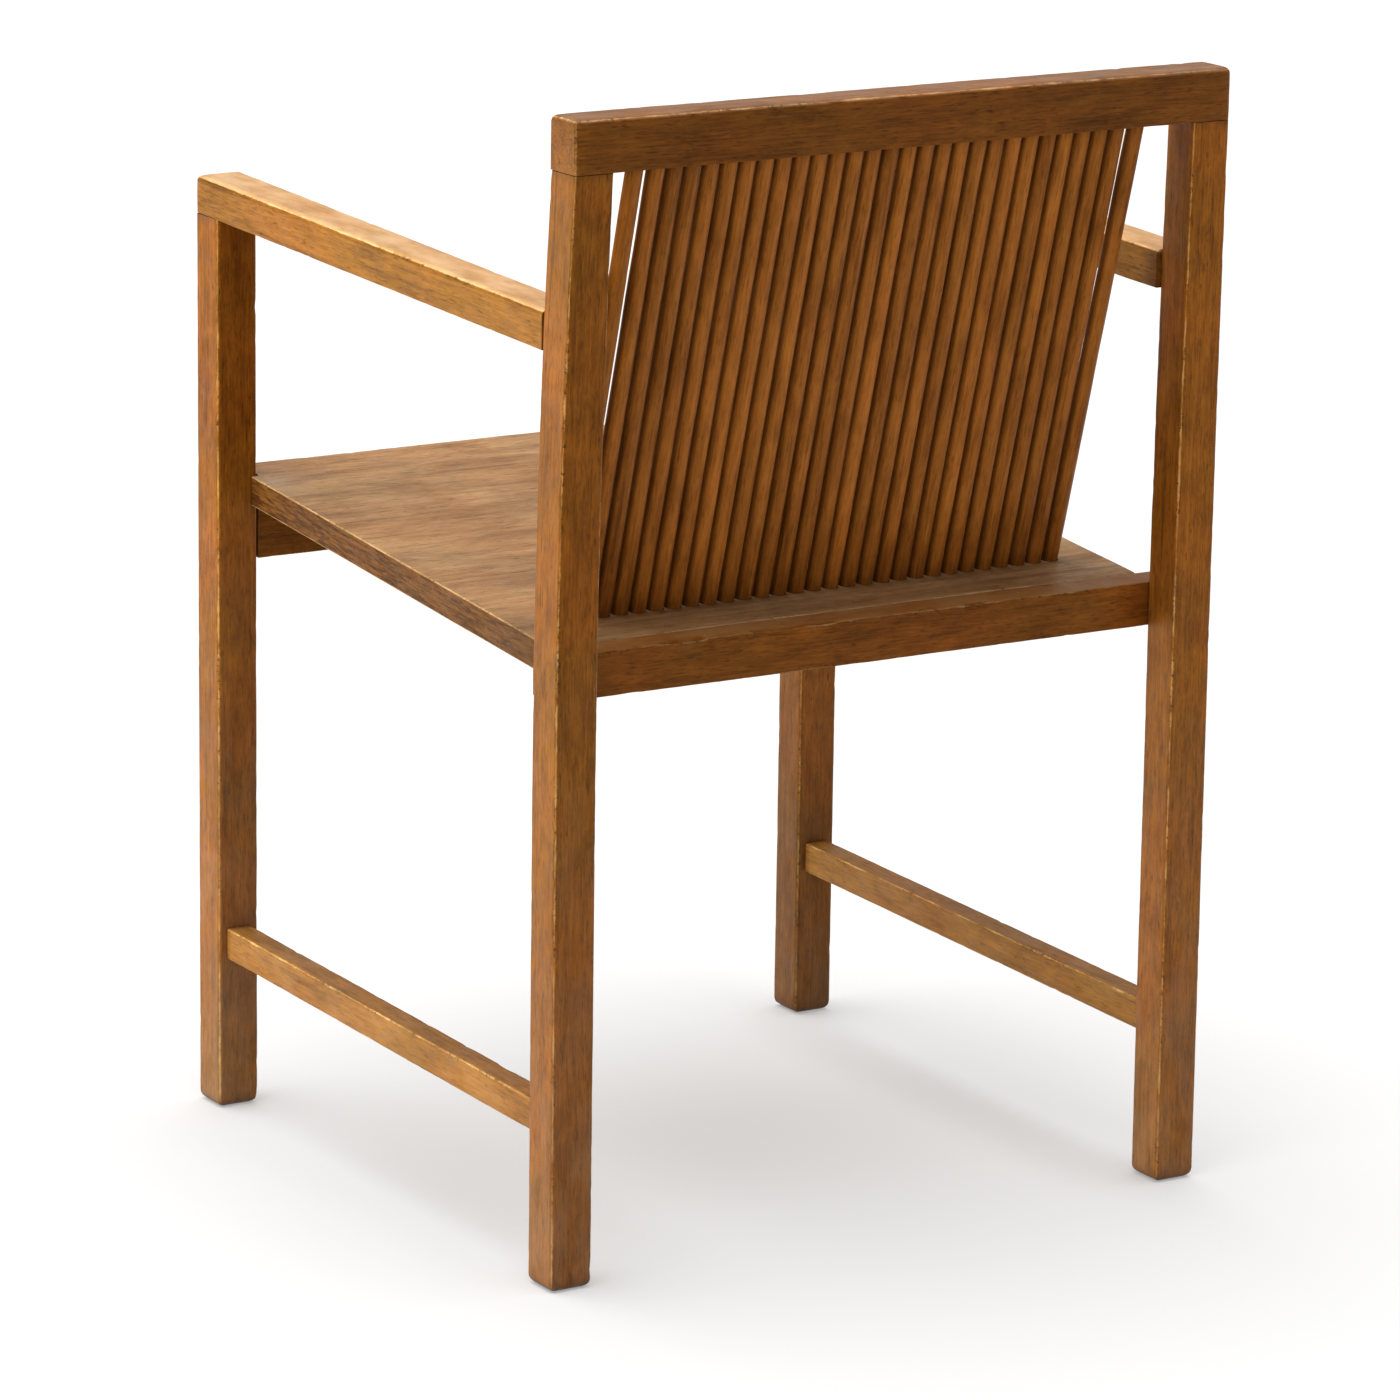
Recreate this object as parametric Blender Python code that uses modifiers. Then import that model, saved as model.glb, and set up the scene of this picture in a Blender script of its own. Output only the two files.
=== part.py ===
"""Wooden armchair with a back of round rods: four square posts, a top rail, two
arms, a sloping board seat on two rails, two low side stretchers, and the dowels
that hold them. Metres, +Z up, front towards -Y, origin on the floor."""

import math

import bmesh
import bpy
from mathutils import Matrix, Vector

# Overall size
WIDTH = 0.534
DEPTH = 0.516  # at the floor, across the legs
HEIGHT = 0.804
CLEAR = 0.0003  # between pieces that touch

# Posts
POST = 0.033
ARRIS = 0.0025  # softened edge of a long piece
REAR_BEND = 0.010  # how far back the rear posts reach at the top
BEND_START = 0.350  # height where that curve begins
OUTER_TAPER = 0.0050  # how far the rear posts' outer faces have come in at the top
INNER_TAPER = 0.0027  # and their inner faces
BEND_RINGS = 7

# Top rail, arms
RAIL_HEIGHT = 0.037
RAIL_DEPTH = 0.034
RAIL_ROUND = 0.005  # on the upper edges of the top rail and the arms
CRISP = 0.1  # share of the softening that an edge at a joint or of an underside gets
UPRIGHT = 0.6  # share that an upright edge of the top rail or an arm gets
ARM_WIDTH = 0.037
ARM_HEIGHT = 0.0275
ARM_TOP_FRONT = 0.691
ARM_SLOPE = -0.036  # rise per metre towards the rear

# Seat
SEAT_TOP_REAR = 0.4350  # where it meets the rear posts
SEAT_SLOPE = -0.086
SEAT_THICK = 0.022
SEAT_WIDTH = 0.480
SEAT_SETBACK = 0.003  # from the legs' front faces
NOTCH_HEIGHT = 0.080
REAR_RAIL_HEIGHT = 0.032
REAR_RAIL_DEPTH = 0.022
REAR_RAIL_WIDTH = 0.506
FRONT_RAIL_HEIGHT = 0.040
FRONT_RAIL_DEPTH = 0.026

# Side stretchers
STRETCHER_WIDTH = 0.0205
STRETCHER_HEIGHT = 0.0235
STRETCHER_TOP_FRONT = 0.138
STRETCHER_SLOPE = -0.022

# Tenons and dowels
TENON_LENGTH = 0.018
TENON_SHARE = 0.5  # tenon thickness and height as a share of the piece
TENON_OVERLAP = 0.004  # how far a tenon runs back into its piece
DOWEL_DEPTH = 0.018
DOWEL_END = 0.001  # air past each end of a dowel
LARGE_DOWEL = 0.010
SMALL_DOWEL = 0.008
DOWEL_SIDES = 16

# Back rods
ROD_COUNT = 29
ROD_DIAMETER = 0.0128
ROD_PITCH = 0.0142
ROD_SIDES = 20
ROD_FROM_REAR = 0.0720  # rod axis on the seat to the seat's rear edge
ROD_TOP_INSET = 0.026  # rod axis to the top rail's rear face
OUTER_ROD_SPREAD = 0.0021  # how far the end rods stand off at the top
OUTER_ROD_FOOT = 0.2  # share of that at their feet
SOCKET_DEPTH = 0.011  # of the holes that take the ends of the rods

# Angles
EDGE_ANGLE = math.radians(30)  # sharper edges than this are softened
SHARP_ANGLE = math.radians(35)  # and sharper than this stay creased

# Worked out from the sizes above
FRONT_Y = -(DEPTH + REAR_BEND) / 2
REAR_Y = FRONT_Y + DEPTH  # rear faces of the rear posts at the floor
TOP_REAR_Y = -FRONT_Y
POST_X = (WIDTH - POST) / 2
FRONT_POST_Y = FRONT_Y + POST / 2
REAR_POST_Y = REAR_Y - POST / 2
REAR_POST_FACE = REAR_Y - POST
RAIL_BOTTOM = HEIGHT - RAIL_HEIGHT
RAIL_Y = TOP_REAR_Y - RAIL_DEPTH / 2
ARM_X = (WIDTH - ARM_WIDTH) / 2
TOP_POST_X = POST_X - (OUTER_TAPER + INNER_TAPER) / 2

LABELS = {1: "left", -1: "right"}

parts = bpy.data.collections.new("rod_back_armchair")
cutters = bpy.data.collections.new("cutters")


def clear_scene():
    for obj in list(bpy.data.objects):
        bpy.data.objects.remove(obj, do_unlink=True)
    bpy.context.scene.collection.children.link(parts)
    bpy.context.scene.collection.children.link(cutters)


def wood(name, colour, roughness):
    material = bpy.data.materials.new(name)
    material.use_nodes = True
    shader = material.node_tree.nodes["Principled BSDF"]
    shader.inputs["Base Color"].default_value = (*colour, 1)
    shader.inputs["Roughness"].default_value = roughness
    shader.inputs["Metallic"].default_value = 0
    return material


def frame_wood():
    return wood("frame_wood", (0.36, 0.19, 0.08), 0.45)


def arm_wood():
    return wood("arm_wood", (0.40, 0.23, 0.10), 0.42)


def seat_wood():
    return wood("seat_wood", (0.42, 0.27, 0.15), 0.5)


def rod_wood():
    return wood("rod_wood", (0.30, 0.15, 0.05), 0.45)


def dowel_wood():
    return wood("dowel_wood", (0.60, 0.44, 0.27), 0.6)


# Heights of the sloping pieces and the line of the rear posts


def curve(height):
    """From 0 where the rear posts start to curve to 1 under the top rail."""
    rise = max(0.0, height - BEND_START) / (RAIL_BOTTOM - BEND_START)
    return rise**2


def bend(height):
    """How far back the rear posts have moved at this height."""
    return REAR_BEND * curve(height)


def seat_top(y):
    return SEAT_TOP_REAR + SEAT_SLOPE * (y - REAR_POST_FACE)


def arm_top(y):
    return ARM_TOP_FRONT + ARM_SLOPE * (y - FRONT_Y)


def stretcher_top(y):
    return STRETCHER_TOP_FRONT + STRETCHER_SLOPE * (y - FRONT_Y)


# Building blocks


def link(name, bm, group, material=None):
    mesh = bpy.data.meshes.new(name)
    bm.to_mesh(mesh)
    bm.free()
    obj = bpy.data.objects.new(name, mesh)
    group.objects.link(obj)
    if material:
        mesh.materials.append(material)
    return obj


def box_mesh(size):
    bm = bmesh.new()
    bmesh.ops.create_cube(bm, size=1)
    bmesh.ops.scale(bm, vec=Vector(size), verts=bm.verts)
    return bm


def shear(bm, slope):
    """Lift the mesh in proportion to Y, which leaves its ends upright."""
    for vert in bm.verts:
        vert.co.z += slope * vert.co.y


def bar(name, size, place, material, slope=0.0):
    bm = box_mesh(size)
    shear(bm, slope)
    obj = link(name, bm, parts, material)
    obj.location = place
    return obj


def box_cutter(name, size, place, slope=0.0, turn=0.0):
    bm = box_mesh(size)
    shear(bm, slope)
    obj = link(name, bm, cutters)
    obj.location = place
    obj.rotation_euler = (turn, 0, 0)
    obj.hide_render = True
    obj.display_type = "WIRE"
    return obj


def cylinder_mesh(diameter, length, sides):
    bm = bmesh.new()
    bmesh.ops.create_cone(
        bm,
        cap_ends=True,
        segments=sides,
        radius1=diameter / 2,
        radius2=diameter / 2,
        depth=length,
    )
    return bm


def aim(obj, centre, direction):
    """Put the object's own Z axis along a direction."""
    turn = Vector((0, 0, 1)).rotation_difference(Vector(direction)).to_matrix()
    obj.matrix_world = Matrix.Translation(Vector(centre)) @ turn.to_4x4()


def soften(obj, width, segments=2, share=None):
    """Round the sharp edges before anything is cut. share gives an edge's part of the width."""
    modifier = obj.modifiers.new("soft edges", "BEVEL")
    modifier.width = width
    modifier.segments = segments
    modifier.limit_method = "ANGLE"
    modifier.angle_limit = EDGE_ANGLE
    if share:
        modifier.limit_method = "WEIGHT"
        weigh_edges(obj, share)


def weigh_edges(obj, share):
    bm = bmesh.new()
    bm.from_mesh(obj.data)
    weight = bm.edges.layers.float.new("bevel_weight_edge")
    for edge in bm.edges:
        if edge.calc_face_angle() > EDGE_ANGLE:
            edge[weight] = share(*(vert.co for vert in edge.verts))
    bm.to_mesh(obj.data)
    bm.free()


def crisp_top(a, b):
    """A post's edges, crisp where the next piece lies on it."""
    level = abs(a.z - b.z) < POST
    return CRISP if level and min(a.z, b.z) > 0 and a.z + b.z > HEIGHT / 2 else 1


def round_top(a, b):
    """A rail's edges, round above and nearly crisp below."""
    if max(a.z, b.z) < 0:
        return CRISP
    return UPRIGHT if min(a.z, b.z) < 0 else 1


def round_arm(a, b):
    """The same for an arm, which is crisp where it meets the rear post."""
    return CRISP if min(a.y, b.y) > 0 else round_top(a, b)


def boolean(obj, tool, operation):
    modifier = obj.modifiers.new(tool.name, "BOOLEAN")
    modifier.operation = operation
    modifier.solver = "EXACT"
    modifier.object = tool


def cut(obj, tool):
    boolean(obj, tool, "DIFFERENCE")


def join(obj, tool):
    boolean(obj, tool, "UNION")


def dowel(name, diameter, centre, direction, joined, material):
    """A dowel pin and the two blind holes that it fills, one in each joined piece."""
    length = 2 * DOWEL_DEPTH
    pin = link(name, cylinder_mesh(diameter, length, DOWEL_SIDES), parts, material)
    aim(pin, centre, direction)
    hole_mesh = cylinder_mesh(diameter + 2 * CLEAR, length + 2 * DOWEL_END, DOWEL_SIDES)
    hole = link(name + "_hole", hole_mesh, cutters)
    aim(hole, centre, direction)
    hole.hide_render = True
    hole.display_type = "WIRE"
    for piece in joined:
        cut(piece, hole)


def tenon(piece, post, name, size, centre, axis, slope=0.0):
    """A stub tenon on the end of a piece, and the mortise that it fills in a post."""
    inward = -1 if centre[axis] > 0 else 1
    long_size = list(size)
    long_size[axis] += TENON_OVERLAP
    long_centre = list(centre)
    long_centre[axis] += inward * TENON_OVERLAP / 2
    join(piece, box_cutter(name + "_tenon", long_size, long_centre, slope))
    hole_size = [side + 2 * CLEAR for side in size]
    hole_size[axis] = size[axis] + 2 * TENON_OVERLAP
    hole_centre = list(centre)
    hole_centre[axis] += inward * (TENON_OVERLAP - DOWEL_END)
    cut(post, box_cutter(name + "_mortise", hole_size, hole_centre, slope))


# Sub-parts. side is 1 for the sitter's left and -1 for the right.


def front_leg(name, side, material):
    top = arm_top(FRONT_POST_Y) - ARM_HEIGHT - CLEAR
    bm = box_mesh((POST, POST, top))
    bmesh.ops.translate(bm, vec=(0, 0, top / 2), verts=bm.verts)
    for vert in bm.verts:
        if vert.co.z > 0:
            vert.co.z += ARM_SLOPE * vert.co.y
    leg = link(name, bm, parts, material)
    leg.location = (side * POST_X, FRONT_POST_Y, 0)
    soften(leg, ARRIS, share=crisp_top)
    return leg


def rear_post(name, side, material):
    """A square post that is straight below, and above curves back and narrows a little."""
    top = RAIL_BOTTOM - CLEAR
    bm = box_mesh((POST, POST, top))
    bmesh.ops.translate(bm, vec=(0, 0, top / 2), verts=bm.verts)
    for ring in range(BEND_RINGS):
        height = BEND_START + (top - BEND_START) * ring / BEND_RINGS
        bmesh.ops.bisect_plane(
            bm,
            geom=bm.verts[:] + bm.edges[:] + bm.faces[:],
            plane_co=(0, 0, height),
            plane_no=(0, 0, 1),
        )
    for vert in bm.verts:
        taper = OUTER_TAPER if side * vert.co.x > 0 else INNER_TAPER
        vert.co.x -= side * taper * curve(vert.co.z)
        vert.co.y += bend(vert.co.z)
    post = link(name, bm, parts, material)
    post.location = (side * POST_X, REAR_POST_Y, 0)
    soften(post, ARRIS, share=crisp_top)
    return post


def top_rail(material):
    size = (WIDTH - 2 * OUTER_TAPER, RAIL_DEPTH, RAIL_HEIGHT)
    rail = bar("top_rail", size, (0, RAIL_Y, HEIGHT - RAIL_HEIGHT / 2), material)
    soften(rail, RAIL_ROUND, segments=3, share=round_top)
    return rail


def arm(name, side, material):
    """An arm that lies on the front leg and butts against the rear post, outer face flush."""
    end = REAR_POST_FACE + bend(arm_top(REAR_POST_FACE) - ARM_HEIGHT) - CLEAR
    centre_y = (FRONT_Y + end) / 2
    place = (side * ARM_X, centre_y, arm_top(centre_y) - ARM_HEIGHT / 2)
    size = (ARM_WIDTH, end - FRONT_Y, ARM_HEIGHT)
    piece = bar(name, size, place, material, ARM_SLOPE)
    for vert in piece.data.vertices:
        if vert.co.y > 0 and side * vert.co.x > 0:
            vert.co.x -= side * OUTER_TAPER * curve(place[2])
    soften(piece, RAIL_ROUND, segments=3, share=round_arm)
    return piece


def stretcher(name, side, front, rear, material):
    start = FRONT_Y + POST + CLEAR
    end = REAR_POST_FACE - CLEAR
    middle = (start + end) / 2
    x = side * POST_X
    drop = STRETCHER_HEIGHT / 2
    size = (STRETCHER_WIDTH, end - start, STRETCHER_HEIGHT)
    place = (x, middle, stretcher_top(middle) - drop)
    piece = bar(name, size, place, material, STRETCHER_SLOPE)
    soften(piece, ARRIS)
    tenon_size = (STRETCHER_WIDTH * TENON_SHARE, TENON_LENGTH, STRETCHER_HEIGHT * TENON_SHARE)
    for post, edge, step in ((front, start, -1), (rear, end, 1)):
        y = edge + step * TENON_LENGTH / 2
        centre = (x, y, stretcher_top(y) - drop)
        tenon(piece, post, f"{name}_{post.name}", tenon_size, centre, 1, STRETCHER_SLOPE)
    return piece


def front_seat_rail(legs, material):
    """The rail under the seat's front edge, tenoned into both front legs."""
    half = WIDTH / 2 - POST - CLEAR
    y = FRONT_Y + POST - FRONT_RAIL_DEPTH / 2 - CLEAR
    z = seat_top(y) - SEAT_THICK - CLEAR - FRONT_RAIL_HEIGHT / 2
    size = (2 * half, FRONT_RAIL_DEPTH, FRONT_RAIL_HEIGHT)
    rail = bar("front_seat_rail", size, (0, y, z), material, SEAT_SLOPE)
    soften(rail, ARRIS / 2)
    tenon_size = (TENON_LENGTH, FRONT_RAIL_DEPTH * TENON_SHARE, FRONT_RAIL_HEIGHT * TENON_SHARE)
    for side, leg in legs.items():
        centre = (side * (half + TENON_LENGTH / 2), y, z)
        tenon(rail, leg, f"front_rail_{leg.name}", tenon_size, centre, 0, SEAT_SLOPE)
    return rail


def rear_seat_rail(material):
    """The rail behind the seat board, flush with its top, against the rear posts."""
    y = REAR_POST_FACE - CLEAR - REAR_RAIL_DEPTH / 2
    size = (REAR_RAIL_WIDTH, REAR_RAIL_DEPTH, REAR_RAIL_HEIGHT)
    place = (0, y, seat_top(y) - REAR_RAIL_HEIGHT / 2)
    rail = bar("rear_seat_rail", size, place, material, SEAT_SLOPE)
    soften(rail, ARRIS / 2)
    return rail


def seat_board(material):
    """The board between the legs, with its front corners notched round them."""
    start = FRONT_Y + SEAT_SETBACK
    end = REAR_POST_FACE - REAR_RAIL_DEPTH - 2 * CLEAR
    middle = (start + end) / 2
    size = (SEAT_WIDTH, end - start, SEAT_THICK)
    place = (0, middle, seat_top(middle) - SEAT_THICK / 2)
    board = bar("seat_board", size, place, material, SEAT_SLOPE)
    soften(board, ARRIS / 2)
    notch = POST + 2 * CLEAR
    for side, label in LABELS.items():
        centre = (side * POST_X, FRONT_POST_Y, seat_top(FRONT_POST_Y))
        cut(board, box_cutter(f"leg_notch_{label}", (notch, notch, NOTCH_HEIGHT), centre))
    return board


# The row of rods


def rod_ends(index):
    """Where a rod's axis meets the seat's top and the rail's underside."""
    x = (index - (ROD_COUNT - 1) / 2) * ROD_PITCH
    outer = index in (0, ROD_COUNT - 1)
    spread = math.copysign(OUTER_ROD_SPREAD, x) if outer else 0.0
    foot_y = REAR_POST_FACE - ROD_FROM_REAR
    foot = Vector((x + spread * OUTER_ROD_FOOT, foot_y, seat_top(foot_y)))
    head = Vector((x + spread, TOP_REAR_Y - ROD_TOP_INSET, RAIL_BOTTOM))
    return foot, head


def back_rod(name, index, material):
    foot, head = rod_ends(index)
    way = (head - foot).normalized()
    buried = SOCKET_DEPTH - DOWEL_END
    start = foot - way * buried
    end = head + way * buried
    length = (end - start).length
    rod = link(name, cylinder_mesh(ROD_DIAMETER, length, ROD_SIDES), parts, material)
    aim(rod, (start + end) / 2, way)
    return rod


def rod_sockets(name, piece, at_head):
    """The blind holes that take one end of every rod."""
    radius = ROD_DIAMETER / 2 + CLEAR
    bm = bmesh.new()
    for index in range(ROD_COUNT):
        foot, head = rod_ends(index)
        turn = Vector((0, 0, 1)).rotation_difference(head - foot).to_matrix()
        bmesh.ops.create_cone(
            bm,
            cap_ends=True,
            segments=ROD_SIDES,
            radius1=radius,
            radius2=radius,
            depth=2 * SOCKET_DEPTH,
            matrix=Matrix.Translation(head if at_head else foot) @ turn.to_4x4(),
        )
    holes = link(name, bm, cutters)
    holes.hide_render = True
    holes.display_type = "WIRE"
    cut(piece, holes)


def back(rail, board, material):
    rod_sockets("seat_sockets", board, at_head=False)
    rod_sockets("rail_sockets", rail, at_head=True)
    for index in range(ROD_COUNT):
        back_rod(f"back_rod_{index + 1:02d}", index, material)


# Dowelled joints


def arm_dowels(label, side, arm_piece, leg, post, material):
    x = side * POST_X
    joint = arm_top(FRONT_POST_Y) - ARM_HEIGHT
    centre = (x, FRONT_POST_Y, joint)
    dowel(f"arm_front_dowel_{label}", LARGE_DOWEL, centre, (0, 0, 1), (arm_piece, leg), material)
    z = arm_top(REAR_POST_FACE) - ARM_HEIGHT / 2
    centre = (x, REAR_POST_FACE + bend(z), z)
    along = (0, 1, ARM_SLOPE)
    dowel(f"arm_rear_dowel_{label}", LARGE_DOWEL, centre, along, (arm_piece, post), material)


def post_dowels(label, side, post, rail, rear_rail, material):
    centre = (side * TOP_POST_X, REAR_POST_Y + bend(RAIL_BOTTOM), RAIL_BOTTOM)
    dowel(f"top_rail_dowel_{label}", LARGE_DOWEL, centre, (0, 0, 1), (post, rail), material)
    lap = REAR_RAIL_WIDTH / 2 - (WIDTH / 2 - POST)
    x = side * (REAR_RAIL_WIDTH / 2 - lap / 2)
    centre = (x, REAR_POST_FACE, seat_top(REAR_POST_FACE) - REAR_RAIL_HEIGHT / 2)
    dowel(f"seat_post_dowel_{label}", SMALL_DOWEL, centre, (0, 1, 0), (post, rear_rail), material)


def seat_dowels(board, front_rail, rear_rail, material):
    """Three dowels down into the front rail and three back into the rear rail."""
    spacing = SEAT_WIDTH / 3
    front_y = front_rail.location.y
    rear_y = REAR_POST_FACE - REAR_RAIL_DEPTH - CLEAR
    for index, x in enumerate((-spacing, 0, spacing), start=1):
        centre = (x, front_y, seat_top(front_y) - SEAT_THICK - DOWEL_END)
        pieces = (board, front_rail)
        dowel(f"seat_front_dowel_{index}", SMALL_DOWEL, centre, (0, 0, 1), pieces, material)
        centre = (x, rear_y, seat_top(rear_y) - SEAT_THICK / 2)
        pieces = (board, rear_rail)
        dowel(f"seat_rear_dowel_{index}", SMALL_DOWEL, centre, (0, 1, 0), pieces, material)


def shade_round_pieces():
    for obj in parts.objects:
        obj.data.shade_smooth()
        obj.data.set_sharp_from_angle(angle=SHARP_ANGLE)


def build():
    clear_scene()
    frame, seat, pins = frame_wood(), seat_wood(), dowel_wood()
    legs = {side: front_leg(f"front_leg_{label}", side, frame) for side, label in LABELS.items()}
    posts = {side: rear_post(f"rear_post_{label}", side, frame) for side, label in LABELS.items()}
    rail = top_rail(frame)
    board = seat_board(seat)
    front_rail = front_seat_rail(legs, frame)
    rear_rail = rear_seat_rail(frame)
    arms = arm_wood()
    for side, label in LABELS.items():
        arm_piece = arm(f"arm_{label}", side, arms)
        stretcher(f"side_stretcher_{label}", side, legs[side], posts[side], frame)
        arm_dowels(label, side, arm_piece, legs[side], posts[side], pins)
        post_dowels(label, side, posts[side], rail, rear_rail, pins)
    seat_dowels(board, front_rail, rear_rail, pins)
    back(rail, board, rod_wood())
    shade_round_pieces()


build()
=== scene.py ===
"""Visual model of the rod-back armchair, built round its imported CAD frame.

Every long piece is a bar along one axis, s, with a rounded outline in the other two, u and v.
Metres, +Z up, front towards -Y."""

import math

import bmesh
import bpy
import numpy as np
from mathutils import Matrix, Vector, noise


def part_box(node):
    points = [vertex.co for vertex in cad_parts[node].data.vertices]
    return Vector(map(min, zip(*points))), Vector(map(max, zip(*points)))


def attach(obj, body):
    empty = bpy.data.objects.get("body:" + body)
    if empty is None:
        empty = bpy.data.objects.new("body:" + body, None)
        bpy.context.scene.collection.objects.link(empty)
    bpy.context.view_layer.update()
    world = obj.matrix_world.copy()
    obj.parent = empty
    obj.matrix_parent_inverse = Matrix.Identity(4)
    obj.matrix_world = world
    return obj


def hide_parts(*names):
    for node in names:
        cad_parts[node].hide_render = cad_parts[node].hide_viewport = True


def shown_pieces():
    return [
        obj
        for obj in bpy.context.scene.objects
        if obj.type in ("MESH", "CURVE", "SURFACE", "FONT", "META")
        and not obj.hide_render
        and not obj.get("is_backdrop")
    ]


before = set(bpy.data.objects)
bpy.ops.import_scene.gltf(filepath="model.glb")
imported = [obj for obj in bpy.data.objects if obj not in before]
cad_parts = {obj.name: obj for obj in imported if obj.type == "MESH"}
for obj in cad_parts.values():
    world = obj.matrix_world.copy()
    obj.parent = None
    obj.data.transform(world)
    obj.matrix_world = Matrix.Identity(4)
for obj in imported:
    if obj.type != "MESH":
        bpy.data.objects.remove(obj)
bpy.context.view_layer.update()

# Slopes, bend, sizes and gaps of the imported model
SEAT_SLOPE = -0.086
ARM_SLOPE = -0.036
STRETCHER_SLOPE = -0.022
BEND_START = 0.350
OUTER_TAPER = 0.0050
INNER_TAPER = 0.0027
ROD_COUNT = 29
ROD_DIAMETER = 0.0128
ROD_PITCH = 0.0142
SOCKET_DEPTH = 0.011
ROD_TOP_INSET = 0.026
ROD_FROM_REAR = 0.0720
OUTER_ROD_SPREAD = 0.0021
OUTER_ROD_FOOT = 0.2
STRETCHER_HEIGHT = 0.0235
STRETCHER_WIDTH = 0.0205
RAIL_DEPTH = 0.034
RAIL_HEIGHT = 0.037
ARM_HEIGHT = 0.0275
SEAT_THICK = 0.022
FRONT_RAIL_HEIGHT = 0.040
FRONT_RAIL_DEPTH = 0.026
REAR_RAIL_HEIGHT = 0.032
GAP = 0.0003
ARRIS_MARGIN = 0.0006  # between an arris and the first line of points beside it
HAIRLINE = 0.00005  # left open where pieces meet flush, and to each side of a notch's step

# Rounding, worn by hand and by use
UPPER_ROUND = (0.0048, 0.0048, 0.0005, 0.0005)  # the top rail's and the arms' four long arrises
POST_ARRIS = 0.0034
STRETCHER_ARRIS = 0.0024
BOARD_ARRIS = 0.0016
REAR_RAIL_ARRIS = 0.0014
ROD_ARRIS_SHARE = 0.97  # of half a rod's thickness, which makes it all but round
FOOT_ROUND = 0.007
END_ROUND = 0.0045  # the top rail's ends and the arms' front ends
BOARD_END_ROUND = 0.0012
BUTT_ROUND = 0.0001  # an end that butts against another piece
UPPER_END_SHARES = (0.6, 1.0, 0.05)  # of an end's rounding: taken by the sides, top and underside
CRISP = 0.001  # a lower arris with less rounding than this shows no wear
FAR = 9.0  # distance given to an arris or an end that shows no wear

# Wear, dirt and painted shade
REAR_RAIL_CHIPS = (
    # place, length, depth
    (0.143, 0.016, 0.0032),
    (0.070, 0.022, 0.0022),
    (0.035, 0.012, 0.0018),
    (-0.09, 0.010, 0.0014),
)
SEAT_SCUFF = (0.232, -0.215)
SEAT_SMUDGE = (-0.165, 0.10)
DUST_TOP = 0.50  # height where the legs' pale dust starts
JOINT_REACH = 0.003
FOOT_REACH = 0.012
BUTT_REACH = 0.008
ROD_END_REACH = 0.012
# the most dirt and painted shade that any place gets
MOST_DIRT_AND_SHADE = 0.85
CREVICE_START = 0.70  # of the way from a rod's middle to its side, where the painted shade between rods starts

# Studio
FLOOR_HALF = 30
FLOOR_GREY = 0.55
FLOOR_GLOW = 0.30
WORLD_STRENGTH = 0.45
OVERHEAD_FROM = (0.15, -0.12, 1.0)
OVERHEAD_STRENGTH = 3.3
OVERHEAD_SOFTNESS = 80
SIDE_LIGHT_AT = (1.35, -0.35, 0.50)
SIDE_LIGHT_AIM = (0.2, 0.0, 0.42)
SIDE_LIGHT_SIZE = 0.9
SIDE_LIGHT_WATTS = 21
SIDE_LIGHT_COLOUR = (0.94, 0.92, 0.55)
CAMERA_AT = (2.487758, 4.028849, 1.499840)
CAMERA_YAW = 31.711
CAMERA_PITCH = -13.891
CAMERA_ROLL = 0.817
LENS_MM = 175.05
SENSOR_MM = 36

SIDES = {"left": 1, "right": -1}

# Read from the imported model
leg_low, leg_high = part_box("front_leg_left")
rear_low, rear_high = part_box("rear_post_left")
rail_low, rail_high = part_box("top_rail")
board_low, board_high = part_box("seat_board")
rear_rail_low, rear_rail_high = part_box("rear_seat_rail")
arm_low, arm_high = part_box("arm_left")

POST = leg_high.x - leg_low.x
POST_X = (leg_high.x + leg_low.x) / 2
FRONT_POST_Y = (leg_high.y + leg_low.y) / 2
FRONT_Y = leg_low.y
REAR_POST_FACE = rear_low.y
REAR_POST_Y = REAR_POST_FACE + POST / 2
POST_TOP = rear_high.z
BEND = rear_high.y - rear_low.y - POST
RAIL_BOTTOM = rail_low.z
SEAT_TOP_REAR = rear_rail_high.z + SEAT_SLOPE * (REAR_POST_FACE - rear_rail_low.y)


def seat_top(y):
    return SEAT_TOP_REAR + SEAT_SLOPE * (y - REAR_POST_FACE)


def arm_top(y):
    return arm_high.z + ARM_SLOPE * (y - FRONT_Y)


def curve(height):
    """From 0 where the rear posts start to curve to 1 under the top rail."""
    rise = max(0.0, height - BEND_START) / (RAIL_BOTTOM - BEND_START)
    return rise**2


# Meshes


def outline(left, right, bottom, top, radii, corner_steps, flat_steps):
    """Points round a rectangle with round corners, anticlockwise from the upper right."""
    corners = ((right, top, 0), (left, top, 90), (left, bottom, 180), (right, bottom, 270))
    middle = np.array(((left + right) / 2, (bottom + top) / 2))
    arcs = []
    for (across, up, start), radius in zip(corners, radii):
        corner = np.array((across, up))
        centre = corner - radius * np.sign(corner - middle)
        turns = [math.radians(start + 90 * step / corner_steps) for step in range(corner_steps + 1)]
        ways = [np.array((math.cos(turn), math.sin(turn))) for turn in turns]
        arcs.append([centre + radius * way for way in ways])
    points = []
    for index, arc in enumerate(arcs):
        target = arcs[(index + 1) % 4][0]
        steps = flat_steps[index % 2]
        points += arc
        span = target - arc[-1]
        margin = ARRIS_MARGIN / max(np.linalg.norm(span), 1e-6)
        shares = [step / steps for step in range(1, steps)]
        if margin < 0.2 / steps:
            shares = [margin, *shares, 1 - margin]
        points += [arc[-1] + span * share for share in shares]
    return np.array(points)


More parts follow.
